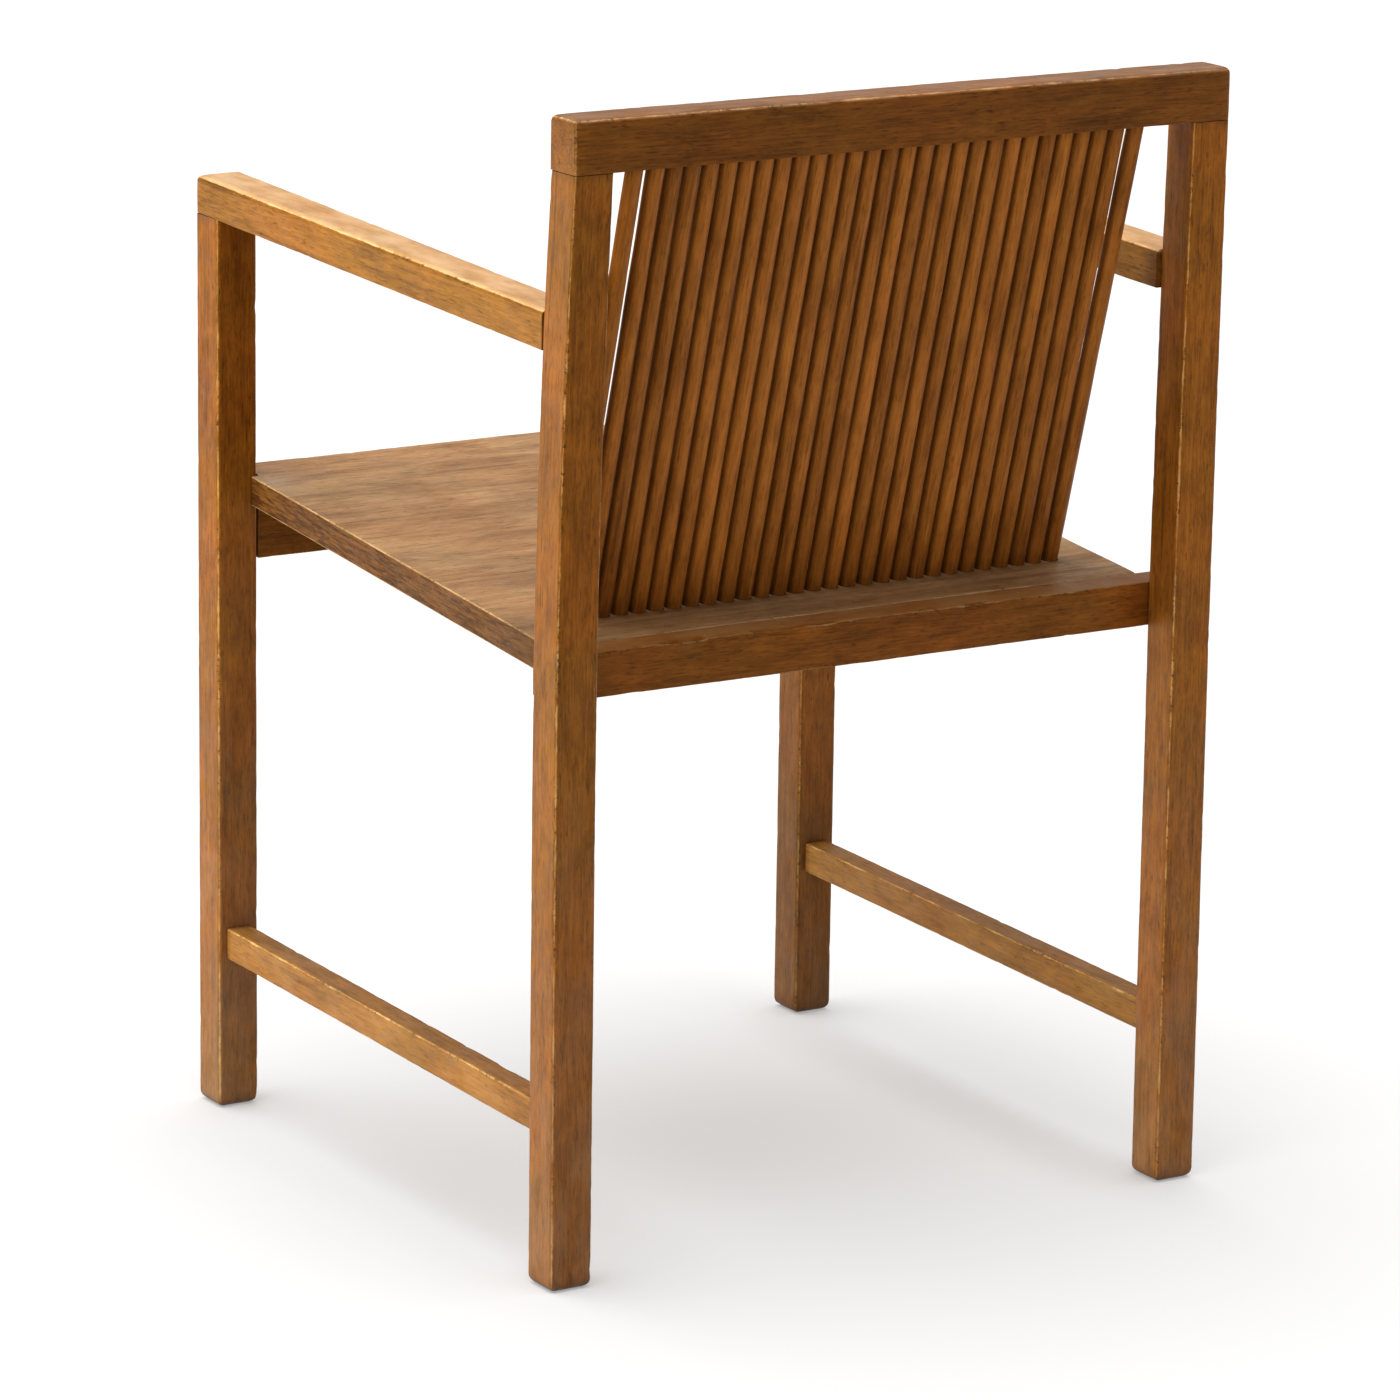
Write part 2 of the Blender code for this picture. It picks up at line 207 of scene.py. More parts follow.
def stations(start, end, step, rounds):
    """Places along a bar, closer together where its ends are rounded."""
    shares = [1 - math.cos(math.radians(turn)) for turn in (0, 18, 36, 54, 72, 90)]
    count = max(2, int((end - start - sum(rounds)) / step))
    middle = np.linspace(start + rounds[0], end - rounds[1], count + 1)
    front = [start + rounds[0] * share for share in shares[:-1]]
    back = [end - rounds[1] * share for share in reversed(shares[:-1])]
    return np.array([*front, *middle, *back])


def inset_at(distance, end_round):
    """How far the outline has drawn in at this distance from a rounded end."""
    if distance >= end_round:
        return 0.0
    left = end_round - distance
    return end_round - math.sqrt(max(0.0, end_round**2 - left**2))


class Bar:
    """One long piece: where it runs, its outline, and how its grain lies."""

    rounds = (0.001, 0.001)
    end_shares = (1.0, 1.0, 1.0)
    chips = ()
    shear = 0.0
    extra = ()  # further places along it that get a ring of points
    step = 0.006
    corner_steps = 5
    flat_steps = (4, 4)
    wobble = 0.00015
    nicks = 0.0005
    hidden_ends = (True, True)
    pith = (0.05, 0.03)
    seed = 1

    def __init__(self, name, axis, start, end, centre, half, radius, **more):
        self.name = name
        self.axis = axis
        self.start = start
        self.end = end
        self.centre = centre
        self.half = half
        self.radii = radius if isinstance(radius, tuple) else (radius,) * 4
        for key, value in more.items():
            setattr(self, key, value)
        self.across, self.up = [i for i in (0, 1, 2) if i != axis]

    def place(self, u, s, v):
        at = [0.0, 0.0, 0.0]
        first, second = self.centre(s)
        at[self.across] = first + u
        at[self.up] = second + v + self.shear * u
        at[self.axis] = s
        return at

    def local(self, at):
        s = at[self.axis]
        first, second = self.centre(s)
        u = at[self.across] - first
        return u, s, at[self.up] - second - self.shear * u

    def ring(self, s, inset):
        """The outline at this place, drawn in at a rounded end."""
        a, b = self.half(s)
        side, top, bottom = (inset * share for share in self.end_shares)
        most = 0.96 * min(a - side, b - max(top, bottom))
        radii = [min(max(radius - inset, radius * 0.4), most) for radius in self.radii]
        points = outline(
            side - a, a - side, bottom - b, b - top, radii, self.corner_steps, self.flat_steps
        )
        return [self.place(u, s, v) for u, v in points]

    def rings(self):
        rings = []
        places = [*stations(self.start, self.end, self.step, self.rounds), *self.extra]
        for s in sorted(places):
            first = inset_at(s - self.start, self.rounds[0])
            last = inset_at(self.end - s, self.rounds[1])
            rings.append((s, max(first, last)))
        least = 0.9 * min(self.half(self.start))
        shares = (0.75, 0.4, 0.15)
        cap = [(self.start, rings[0][1] + least * share) for share in shares]
        tail = [(self.end, rings[-1][1] + least * share) for share in reversed(shares)]
        return cap, rings, tail

    def build(self):
        bm = bmesh.new()
        loops = []
        cap, rings, tail = self.rings()
        for s, inset in cap:
            loops.append(self.cap_ring(bm, s, rings[0][1], inset - rings[0][1]))
        for s, inset in rings:
            loops.append([bm.verts.new(at) for at in self.ring(s, inset)])
        for s, inset in tail:
            loops.append(self.cap_ring(bm, s, rings[-1][1], inset - rings[-1][1]))
        count = len(loops[0])
        for first, second in zip(loops, loops[1:]):
            for index in range(count):
                after = (index + 1) % count
                bm.faces.new((first[index], first[after], second[after], second[index]))
        bm.faces.new(list(reversed(loops[0])))
        bm.faces.new(loops[-1])
        bmesh.ops.recalc_face_normals(bm, faces=bm.faces[:])
        self.roughen(bm)
        mesh = bpy.data.meshes.new(self.name)
        bm.to_mesh(mesh)
        bm.free()
        obj = bpy.data.objects.new(self.name, mesh)
        bpy.context.scene.collection.objects.link(obj)
        return obj

    def cap_ring(self, bm, s, inset, shrink):
        """A smaller copy of an end's outline, lying in the end face."""
        points = np.array(self.ring(s, inset))
        middle = points.mean(axis=0)
        share = 1 - shrink / min(self.half(s))
        return [bm.verts.new(middle + (at - middle) * share) for at in points]

    def roughen(self, bm):
        """Slight waves of a hand-planed surface, and small nicks along the arrises."""
        shift = Vector((self.seed * 7.31, self.seed * 3.17, self.seed * 5.71))
        bm.normal_update()
        moves = []
        for vert in bm.verts:
            at = vert.co + shift
            wave = (noise.noise(at * 23) - 1.0) * self.wobble
            u, s, v = self.local(vert.co)
            a, b = self.half(s)
            near = max(a - abs(u), b - abs(v))
            if near < 1.5 * max(self.radii):
                nick = noise.noise(at * 95) + 0.5 * noise.noise(at * 260)
                wave -= max(0.0, nick - 0.28) * self.nicks * 2
                wave -= abs(noise.noise(at * 41)) * self.nicks * 0.5
            for place, length, depth in self.chips:
                from_arris = math.hypot(a - u, b - v)
                bite = max(0.0, 1 - from_arris / (3 * depth))
                wave -= depth * bite * max(0.0, 1 - abs(s - place) / length) ** 0.5
            moves.append(min(wave, 0.0))
        for vert, move in zip(bm.verts, moves):
            vert.co += vert.normal * move


def write_attributes(obj, bar, tone):
    """Grain place, distance to each edge, and tone, for the material to read."""
    mesh = obj.data
    count = len(mesh.vertices)
    grain = np.zeros((count, 3), np.float32)
    edge = np.zeros((count, 3), np.float32)
    tones = np.zeros((count, 3), np.float32)
    jump = bar.seed * 1.37
    for index, vert in enumerate(mesh.vertices):
        u, s, v = bar.local(vert.co)
        a, b = bar.half(s)
        grain[index] = (u + bar.pith[0], s + jump, v + bar.pith[1])
        ends = [
            FAR if bar.hidden_ends[0] else s - bar.start,
            FAR if bar.hidden_ends[1] else bar.end - s,
        ]
        crisp = v < 0 and max(bar.radii[2:]) < CRISP
        edge[index] = (a - abs(u), FAR if crisp else b - abs(v), min(ends))
        tones[index] = tone(vert.co)
    for name, values in (("grain", grain), ("edge", edge), ("tone", tones)):
        layer = mesh.attributes.new(name, "FLOAT_VECTOR", "POINT")
        layer.data.foreach_set("vector", values.ravel())


def finish_piece(obj, bar, material, node, tone):
    write_attributes(obj, bar, tone)
    obj.data.shade_smooth()
    obj.data.set_sharp_from_angle(angle=math.radians(40))
    obj.data.materials.append(material)
    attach(obj, "root")
    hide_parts(node)
    return obj


def rod_ends(index):
    """Where a rod's axis meets the seat's top and the rail's underside."""
    x = (index - (ROD_COUNT - 1) / 2) * ROD_PITCH
    outer = index in (0, ROD_COUNT - 1)
    spread = math.copysign(OUTER_ROD_SPREAD, x) if outer else 0.0
    foot_y = REAR_POST_FACE - ROD_FROM_REAR
    foot = Vector((x + spread * OUTER_ROD_FOOT, foot_y, seat_top(foot_y)))
    head = Vector((x + spread, rail_high.y - ROD_TOP_INSET, RAIL_BOTTOM))
    return foot, head


def drill(obj, at_head):
    """Cut the blind holes that take one end of every rod."""
    radius = ROD_DIAMETER / 2 + GAP
    bm = bmesh.new()
    for index in range(ROD_COUNT):
        foot, head = rod_ends(index)
        turn = Vector((0, 0, 1)).rotation_difference(head - foot).to_matrix()
        bmesh.ops.create_cone(
            bm,
            cap_ends=True,
            segments=24,
            radius1=radius,
            radius2=radius,
            depth=2 * SOCKET_DEPTH,
            matrix=Matrix.Translation(head if at_head else foot) @ turn.to_4x4(),
        )
    mesh = bpy.data.meshes.new("sockets")
    bm.to_mesh(mesh)
    bm.free()
    tool = bpy.data.objects.new("sockets", mesh)
    bpy.context.scene.collection.objects.link(tool)
    cutting = obj.modifiers.new("sockets", "BOOLEAN")
    cutting.operation = "DIFFERENCE"
    cutting.solver = "EXACT"
    cutting.object = tool
    graph = bpy.context.evaluated_depsgraph_get()
    made = bpy.data.meshes.new_from_object(obj.evaluated_get(graph))
    obj.modifiers.clear()
    obj.data = made
    bpy.data.objects.remove(tool)


# Materials


class Tree:
    """Short way to add and link shader nodes."""

    def __init__(self, material):
        material.use_nodes = True
        self.tree = material.node_tree
        self.shader = self.tree.nodes["Principled BSDF"]

    def add(self, kind, sockets=None, **settings):
        node = self.tree.nodes.new(kind)
        for name, value in settings.items():
            setattr(node, name, value)
        for name, value in (sockets or {}).items():
            self.set(node.inputs[name], value)
        return node

    def set(self, socket, value):
        if hasattr(value, "is_output"):
            self.tree.links.new(value, socket)
        else:
            socket.default_value = value

    def maths(self, operation, first, second=0.0, clamp=False):
        sockets = {0: first, 1: second}
        node = self.add("ShaderNodeMath", sockets, operation=operation, use_clamp=clamp)
        return node.outputs[0]

    def scaled(self, vector, factors):
        node = self.add("ShaderNodeVectorMath", {0: vector, 1: factors}, operation="MULTIPLY")
        return node.outputs[0]

    def noise(self, vector, scale, detail=2.0, roughness=0.5, distortion=0.0):
        sockets = {
            "Vector": vector,
            "Scale": scale,
            "Detail": detail,
            "Roughness": roughness,
            "Distortion": distortion,
        }
        return self.add("ShaderNodeTexNoise", sockets).outputs["Fac"]

    def fit(self, value, low, high, to_low=0.0, to_high=1.0, smooth=True):
        kind = "SMOOTHSTEP" if smooth else "LINEAR"
        node = self.add("ShaderNodeMapRange", interpolation_type=kind)
        sockets = {
            "Value": value,
            "From Min": low,
            "From Max": high,
            "To Min": to_low,
            "To Max": to_high,
        }
        for name, given in sockets.items():
            self.set(node.inputs[name], given)
        return node.outputs[0]

    def mix(self, factor, first, second, blend="MIX"):
        node = self.add("ShaderNodeMix", data_type="RGBA", blend_type=blend)
        self.set(node.inputs["Factor"], factor)
        self.set(node.inputs[6], first)
        self.set(node.inputs[7], second)
        return node.outputs[2]

    def attribute(self, name):
        return self.add("ShaderNodeAttribute", attribute_name=name).outputs["Vector"]

    def split(self, vector):
        return self.add("ShaderNodeSeparateXYZ", {"Vector": vector}).outputs


def ring_pattern(t, grain, scale):
    """Growth rings round a pith line that wanders along the piece."""
    slow = t.scaled(grain, (1, 0.09, 1))
    sockets = {"Vector": slow, "Scale": 18.0, "Detail": 3.0}
    warp = t.add("ShaderNodeTexNoise", sockets).outputs["Color"]
    bent = t.add(
        "ShaderNodeVectorMath", {0: warp, 1: (0.034, 0, 0.034), 2: grain}, operation="MULTIPLY_ADD"
    ).outputs[0]
    u, s, v = t.split(bent)
    flat = t.add("ShaderNodeCombineXYZ", {"X": u, "Z": v}).outputs[0]
    radius = t.add("ShaderNodeVectorMath", {0: flat}, operation="LENGTH").outputs["Value"]
    along = t.maths("MULTIPLY", s, 0.03)
    at = t.add("ShaderNodeCombineXYZ", {"X": radius, "Y": along}).outputs[0]
    return t.fit(t.noise(at, scale, 4.0, 0.62), 0.33, 0.67)


def weighted(t, *pairs):
    """The sum of each value times its weight."""
    total = 0.0
    for value, weight in pairs:
        node = t.add("ShaderNodeMath", {0: value, 1: weight, 2: total}, operation="MULTIPLY_ADD")
        total = node.outputs[0]
    return total


# What a wood looks like unless its own entry says otherwise
PLAIN_LOOK = {
    "ring_scale": 260.0,
    "ring_share": 0.17,
    "fibre_share": 0.27,
    "mottle_share": 0.34,
    "cloud_share": 0.22,
    "stretch": 0.42,
    "pore_share": 0.40,
    "fleck_share": 0.50,
    "streak_share": 0.38,
    "other_hue": (0.95, 1.05, 0.95),
    "wear": 0.80,
    "wear_width": 0.0014,
    "specks": 0.75,
    "end_dark": 0.0,
    "end_low": (0.030, 0.0095, 0.0022),
    "end_high": (0.128, 0.048, 0.0135),
    "pale": (0.36, 0.27, 0.19),
    # dirt, and painted shade at joints, in crevices and behind the rods, both darken towards this
    # colour
    "dirt": (0.026, 0.011, 0.004),
    "roughness": 0.42,
    "bump": 0.40,
    "specular": 0.28,
    "dull_dirt": False,
}
SPECK_COLOUR = (0.022, 0.012, 0.006)
FINISH_TINT = (1.0, 0.52, 0.18)
FINISH_IOR = 1.42
# specular level where dirt and painted shade are heaviest, for woods that dull there
DIRT_AND_SHADE_SPECULAR = 0.02
BUMP_HEIGHT = 0.0003


def opaque(colour, share=1.0):
    return (*[part * share for part in colour], 1)


def figure(t, grain, look):
    """How light the wood is at each place, from 0 to 1."""
    rings = ring_pattern(t, grain, look["ring_scale"])
    fibres = t.fit(t.noise(t.scaled(grain, (1, 0.045, 1)), 640.0, 4.0, 0.7), 0.34, 0.66)
    mottle = t.noise(t.scaled(grain, (1, look["stretch"], 1)), 105.0, 8.0, 0.74, 0.5)
    cloud = t.noise(t.scaled(grain, (1, 0.5, 1)), 26.0, 5.0, 0.62, 0.3)
    return weighted(
        t,
        (rings, look["ring_share"]),
        (fibres, look["fibre_share"]),
        (t.fit(mottle, 0.30, 0.70), look["mottle_share"]),
        (t.fit(cloud, 0.32, 0.68), look["cloud_share"]),
    )


def dark_marks(t, grain, look):
    """Pores, short flecks and a few longer streaks, from 0 to 1."""
    pores = t.fit(t.noise(t.scaled(grain, (1, 0.09, 1)), 1050.0, 1.0), 0.58, 0.70)
    flecks = t.fit(t.noise(t.scaled(grain, (1, 0.22, 1)), 430.0, 2.0, 0.6), 0.58, 0.72)
    groups = t.fit(t.noise(t.scaled(grain, (1, 0.5, 1)), 37.0, 3.0, 0.6), 0.42, 0.62, 0.1, 1.0)
    flecks = t.maths("MULTIPLY", flecks, groups)
    streaks = t.fit(t.noise(t.scaled(grain, (1, 0.045, 1)), 170.0, 3.0, 0.6, 0.3), 0.57, 0.72)
    return pores, weighted(
        t,
        (pores, look["pore_share"]),
        (flecks, look["fleck_share"]),
        (streaks, look["streak_share"]),
    )


def arris_distance(t, edge):
    """Distance over the surface to the middle of the nearest rounded arris."""
    least = t.maths("MINIMUM", edge[0], edge[1])
    inside = t.maths("SUBTRACT", least, 0.0014)
    along = t.maths("MAXIMUM", t.maths("ABSOLUTE", t.maths("SUBTRACT", edge[0], edge[1])), inside)
    at_end = t.maths("ABSOLUTE", t.maths("SUBTRACT", edge[2], least))
    return t.maths("MINIMUM", along, at_end)


def wear_of(t, grain, arris, look):
    """Ragged pale wear along the arrises."""
    ragged = t.noise(t.scaled(grain, (1, 0.3, 1)), 240.0, 5.0, 0.7)
    rag = t.fit(ragged, 0.3, 0.7, -0.0009, 0.0012, smooth=False)
    reach = t.maths("ADD", arris, rag)
    line = t.fit(reach, 0.0, look["wear_width"], look["wear"], 0.0)
    patchy = t.fit(t.noise(grain, 33.0, 3.0, 0.6), 0.36, 0.60, 0.30, 1.0)
    return t.maths("MULTIPLY", line, patchy)


def specks_of(t, grain, arris):
    """Dark specks close to the arrises, where knocks have taken the finish off."""
    dots = t.fit(t.noise(grain, 380.0, 2.0, 0.6), 0.56, 0.64)
    close = t.fit(arris, 0.0008, 0.0040, 1.0, 0.0)
    group = t.fit(t.noise(grain, 24.0, 2.0), 0.42, 0.58)
    return t.maths("MULTIPLY", t.maths("MULTIPLY", dots, close), group)


def stained(t, grain, level, marks, look):
    """The stained wood: its figure in two hues, with dark pores, flecks and streaks."""
    share = t.fit(level, 0.05, 0.95, smooth=False)
    base = t.mix(share, opaque(look["dark"]), opaque(look["light"]))
    hue = t.fit(t.noise(grain, 11.0, 2.0), 0.36, 0.64)
    other = t.mix(1.0, base, opaque(look["other_hue"]), "MULTIPLY")
    base = t.mix(hue, base, other)
    return t.mix(marks, base, opaque(look["dark"], 0.30))


def end_grain(t, grain, edge, arris, base, look):
    """Darker layered end grain over the stained wood, and the share of it at each place."""
    end = t.fit(edge[2], 0.0004, 0.0014, look["end_dark"], 0.0)
    layers = t.fit(t.noise(t.scaled(grain, (0.11, 1, 1)), 520.0, 5.0, 0.7, 0.6), 0.36, 0.64)
    end_tone = t.mix(layers, opaque(look["end_low"]), opaque(look["end_high"]))
    end = t.maths("MULTIPLY", end, t.fit(arris, 0.0003, 0.0014, 0.1, 1.0))
    return t.mix(end, base, end_tone), end


def dusted(t, grain, tone, end, base, look):
    """The piece's own tone with painted sheen and shade, then pale dust in patches with more
    painted sheen, then dirt and painted shade.
    """
    base = t.mix(1.0, base, tone[0], "MULTIPLY")
    dusty = t.fit(t.noise(t.scaled(grain, (1, 0.4, 1)), 48.0, 4.0, 0.6), 0.3, 0.7, 0.5, 1.4)
    dusty = t.maths("MULTIPLY", dusty, t.maths("SUBTRACT", 1.0, end))
    share = t.maths("MULTIPLY", tone[1], dusty, clamp=True)
    base = t.mix(share, base, opaque(look["pale"]))
    return t.mix(tone[2], base, opaque(look["dirt"]))


def finish_coat(t, grain, tone, wear, look):
    """An old thin finish, duller where it is worn and, for some woods, where dirt and painted shade
    lie.
    """
    shine = look["roughness"]
    gloss = t.fit(t.noise(grain, 60.0, 4.0, 0.6), 0.3, 0.7, shine - 0.08, shine + 0.10)
    t.set(t.shader.inputs["Roughness"], weighted(t, (wear, 0.18), (gloss, 1.0)))
    t.shader.inputs["IOR"].default_value = FINISH_IOR
    level = t.shader.inputs["Specular IOR Level"]
    level.default_value = look["specular"]
    if look["dull_dirt"]:
        t.set(level, t.fit(tone[2], 0.0, 0.45, look["specular"], DIRT_AND_SHADE_SPECULAR))
    t.shader.inputs["Specular Tint"].default_value = opaque(FINISH_TINT)


def aged_wood(name, **look):
    """Stained wood: mottled figure, pores and flecks, worn arrises, pale dust, dirt, painted sheen
    and painted shade.
    """
    look = {**PLAIN_LOOK, **look}
    material = bpy.data.materials.new(name)
    t = Tree(material)
    grain = t.attribute("grain")
    edge = t.split(t.attribute("edge"))
    tone = t.split(t.attribute("tone"))
    arris = arris_distance(t, edge)
    level = figure(t, grain, look)
    pores, marks = dark_marks(t, grain, look)
    wear = wear_of(t, grain, arris, look)
    specks = t.maths("MULTIPLY", specks_of(t, grain, arris), look["specks"])
    base = stained(t, grain, level, marks, look)
    base = t.mix(wear, base, opaque(look["worn"]))
    base = t.mix(specks, base, opaque(SPECK_COLOUR))
    base, end = end_grain(t, grain, edge, arris, base, look)
    t.set(t.shader.inputs["Base Color"], dusted(t, grain, tone, end, base, look))
    finish_coat(t, grain, tone, wear, look)
    height = weighted(t, (level, 0.9), (pores, -0.8), (t.noise(grain, 140.0, 3.0, 0.6), 0.5))
    sockets = {"Height": height, "Strength": look["bump"], "Distance": BUMP_HEIGHT}
    t.set(t.shader.inputs["Normal"], t.add("ShaderNodeBump", sockets).outputs[0])
    return material


frame_wood = aged_wood(
    "stained_frame_wood",
    dark=(0.090, 0.0245, 0.0020),
    light=(0.330, 0.101, 0.0100),
    worn=(0.54, 0.30, 0.11),
)
rail_wood = aged_wood(
    "stained_rail_wood",
    dark=(0.060, 0.0155, 0.0020),
    light=(0.235, 0.070, 0.0092),
    worn=(0.50, 0.29, 0.12),
    stretch=0.30,
    streak_share=0.5,
)
arm_wood = aged_wood(
    "stained_arm_wood",
    dark=(0.105, 0.035, 0.0040),
    light=(0.325, 0.121, 0.0175),
    worn=(0.62, 0.38, 0.18),
    pale=(0.72, 0.46, 0.24),
    stretch=0.30,
    mottle_share=0.28,
    fibre_share=0.33,
)
seat_wood = aged_wood(
    "worn_seat_wood",
    dark=(0.175, 0.075, 0.026),
    light=(0.500, 0.268, 0.118),
    worn=(0.58, 0.37, 0.20),
    dirt=(0.055, 0.021, 0.004),
    other_hue=(0.93, 1.03, 1.12),
    ring_scale=120.0,
    ring_share=0.24,
    fibre_share=0.16,
    stretch=0.16,
    mottle_share=0.30,
    cloud_share=0.34,
    streak_share=0.34,
    fleck_share=0.22,
    end_dark=1.0,
    roughness=0.46,
)
rear_rail_wood = aged_wood(
    "stained_rear_rail_wood",
    dark=(0.085, 0.0225, 0.0024),
    light=(0.310, 0.089, 0.0110),
    worn=(0.46, 0.27, 0.12),
    pale=(0.27, 0.125, 0.042),
    stretch=0.28,
    wear=0.6,
    wear_width=0.0011,
)
rod_wood = aged_wood(
    "stained_rod_wood",
    dark=(0.118, 0.034, 0.0045),
    light=(0.390, 0.134, 0.0200),
    worn=(0.36, 0.20, 0.08),
    dirt=(0.052, 0.019, 0.0035),
    other_hue=(1.0, 0.97, 1.0),
    wear=0.0,
    stretch=0.2,
    mottle_share=0.30,
    cloud_share=0.28,
    fleck_share=0.30,
    pore_share=0.30,
    specks=0.0,
    specular=0.22,
    dull_dirt=True,
)
pin_wood = aged_wood(
    "plain_dowel_wood",
    dark=(0.35, 0.22, 0.11),
    light=(0.62, 0.45, 0.26),
    worn=(0.6, 0.45, 0.3),
    wear=0.0,
)


# Sub-parts


def near(value, centre, width):
    """1 at the centre, falling smoothly to 0 at this width."""
    return max(0.0, 1 - abs(value - centre) / width) ** 2


def leg_dust(height):
    """Share of pale dust and scuffing on a leg, which grows towards the floor."""
    return 0.16 * max(0.0, 1 - height / DUST_TOP) ** 1.2


def leg_level(height, side):
    """How light a front leg is: the right one is lighter high up and darker near the floor."""
    return 0.90 if side > 0 else 1.28 - 0.62 * max(0.0, 1 - height / DUST_TOP)


def front_leg(label, side, seed):
    bar = Bar(
        f"leg_front_{label}",
        2,
        0.0,
        arm_top(FRONT_POST_Y) - ARM_HEIGHT - HAIRLINE,
        lambda s: (side * POST_X, FRONT_POST_Y),
        lambda s: (POST / 2, POST / 2),
        POST_ARRIS,
        rounds=(FOOT_ROUND, BUTT_ROUND),
        hidden_ends=(False, True),
        pith=(0.045 * side, 0.06),
        seed=seed,
    )

    def tone(at):
        # painted shade just under the seat board, added to the darkening at the leg's top joint
        by_seat = near(at.z, seat_top(at.y) - 0.03, 0.035)
        joint = near(at.z, leg_high.z, JOINT_REACH) + 0.2 * by_seat
        foot = near(at.z, 0.0, FOOT_REACH)
        dust = leg_dust(at.z) * (1.1 if side > 0 else 0.6)
        shaded = side < 0 and at.x > 0.4 * POST - POST_X
        level = leg_level(at.z, side) * (0.8 if shaded else 1.0)
        return level, dust, min(MOST_DIRT_AND_SHADE, 0.4 * joint + 0.8 * foot)

    return finish_piece(bar.build(), bar, frame_wood, f"front_leg_{label}", tone)


def rear_post(label, side, seed):
    def centre(s):
        shift = (OUTER_TAPER + INNER_TAPER) / 2 * curve(s)
        return side * (POST_X - shift), REAR_POST_Y + BEND * curve(s)

    def half(s):
        return POST / 2 - (OUTER_TAPER - INNER_TAPER) / 2 * curve(s), POST / 2

    bar = Bar(
        f"post_rear_{label}",
        2,
        0.0,
        RAIL_BOTTOM - HAIRLINE,
        centre,
        half,
        POST_ARRIS,
        rounds=(FOOT_ROUND, BUTT_ROUND),
        hidden_ends=(False, True),
        pith=(0.05 * side, -0.055),
        seed=seed,
    )

    def tone(at):
        joint = near(at.z, POST_TOP, JOINT_REACH)
        foot = near(at.z, 0.0, FOOT_REACH)
        level = 0.93 - 0.03 * curve(at.z) if side > 0 else 1.10
        return level, leg_dust(at.z), min(MOST_DIRT_AND_SHADE, 0.35 * joint + 0.8 * foot)

    return finish_piece(bar.build(), bar, frame_wood, f"rear_post_{label}", tone)


def top_rail(seed):
    y = rail_high.y - RAIL_DEPTH / 2
    z = rail_high.z - RAIL_HEIGHT / 2
    bar = Bar(
        "rail_top",
        0,
        rail_low.x,
        rail_high.x,
        lambda s: (y, z),
        lambda s: (RAIL_DEPTH / 2, RAIL_HEIGHT / 2),
        UPPER_ROUND,
        rounds=(END_ROUND, END_ROUND),
        end_shares=UPPER_END_SHARES,
        hidden_ends=(False, False),
        pith=(0.05, 0.05),
        seed=seed,
    )
    obj = bar.build()
    drill(obj, at_head=True)

    def tone(at):
        end = near(abs(at.x), rail_high.x, 0.02)
        under_arris = near(at.z, rail_high.z - 0.010, 0.007) if at.y > y else 0.0
        upper = 1.0 if at.z > rail_high.z - 0.0022 else 0.0
        # the upper face is painted lighter and paler as a painted sheen
        level = 0.90 + 0.62 * max(0.4 * end, upper)
        return level, 0.20 * upper, 0.22 * under_arris * (1 - end)

    return finish_piece(obj, bar, rail_wood, "top_rail", tone)


def arm(label, side, seed):
    low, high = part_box(f"arm_{label}")
    width = high.x - low.x
    x = (high.x + low.x) / 2
    middle = (low.y + high.y) / 2
    taper = OUTER_TAPER * curve(arm_top(middle) - ARM_HEIGHT / 2)
    end = high.y + GAP - HAIRLINE

    def narrowing(s):
        return taper * (s - low.y) / (high.y - low.y)

    bar = Bar(
        f"armrest_{label}",
        1,
        low.y,
        end,
        lambda s: (x - side * narrowing(s) / 2, arm_top(s) - ARM_HEIGHT / 2),
        lambda s: ((width - narrowing(s)) / 2, ARM_HEIGHT / 2),
        UPPER_ROUND,
        rounds=(END_ROUND, BUTT_ROUND),
        end_shares=UPPER_END_SHARES,
        hidden_ends=(False, True),
        pith=(0.03 * side, 0.09),
        seed=seed,
    )

    def tone(at):
        # the upper face is painted lighter and paler as a painted sheen
        upper = 1.0 if at.z > arm_top(at.y) - 0.002 else 0.0
        # the inner face is painted darker as painted shade
        inner = side * (x - at.x) > 0.4 * width and not upper
        level = 0.68 if inner else 1.0
        return level + 0.95 * upper, 0.60 * upper, 0.0

    return finish_piece(bar.build(), bar, arm_wood, f"arm_{label}", tone)


def stretcher(label, side, seed):
    low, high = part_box(f"side_stretcher_{label}")
    start = leg_high.y + GAP
    end = REAR_POST_FACE - GAP
    middle = (low.y + high.y) / 2
    z = (low.z + high.z) / 2

    def tone(at):
        dirt = near(at.y, start, BUTT_REACH) + near(at.y, end, BUTT_REACH)
        return 1.0, 0.08, 0.4 * dirt

    bar = Bar(
        f"stretcher_{label}",
        1,
        start,
        end,
        lambda s: (side * POST_X, z + STRETCHER_SLOPE * (s - middle)),
        lambda s: (STRETCHER_WIDTH / 2, STRETCHER_HEIGHT / 2),
        STRETCHER_ARRIS,
        pith=(0.06, -0.03 * side),
        seed=seed,
    )
    return finish_piece(bar.build(), bar, arm_wood, f"side_stretcher_{label}", tone)


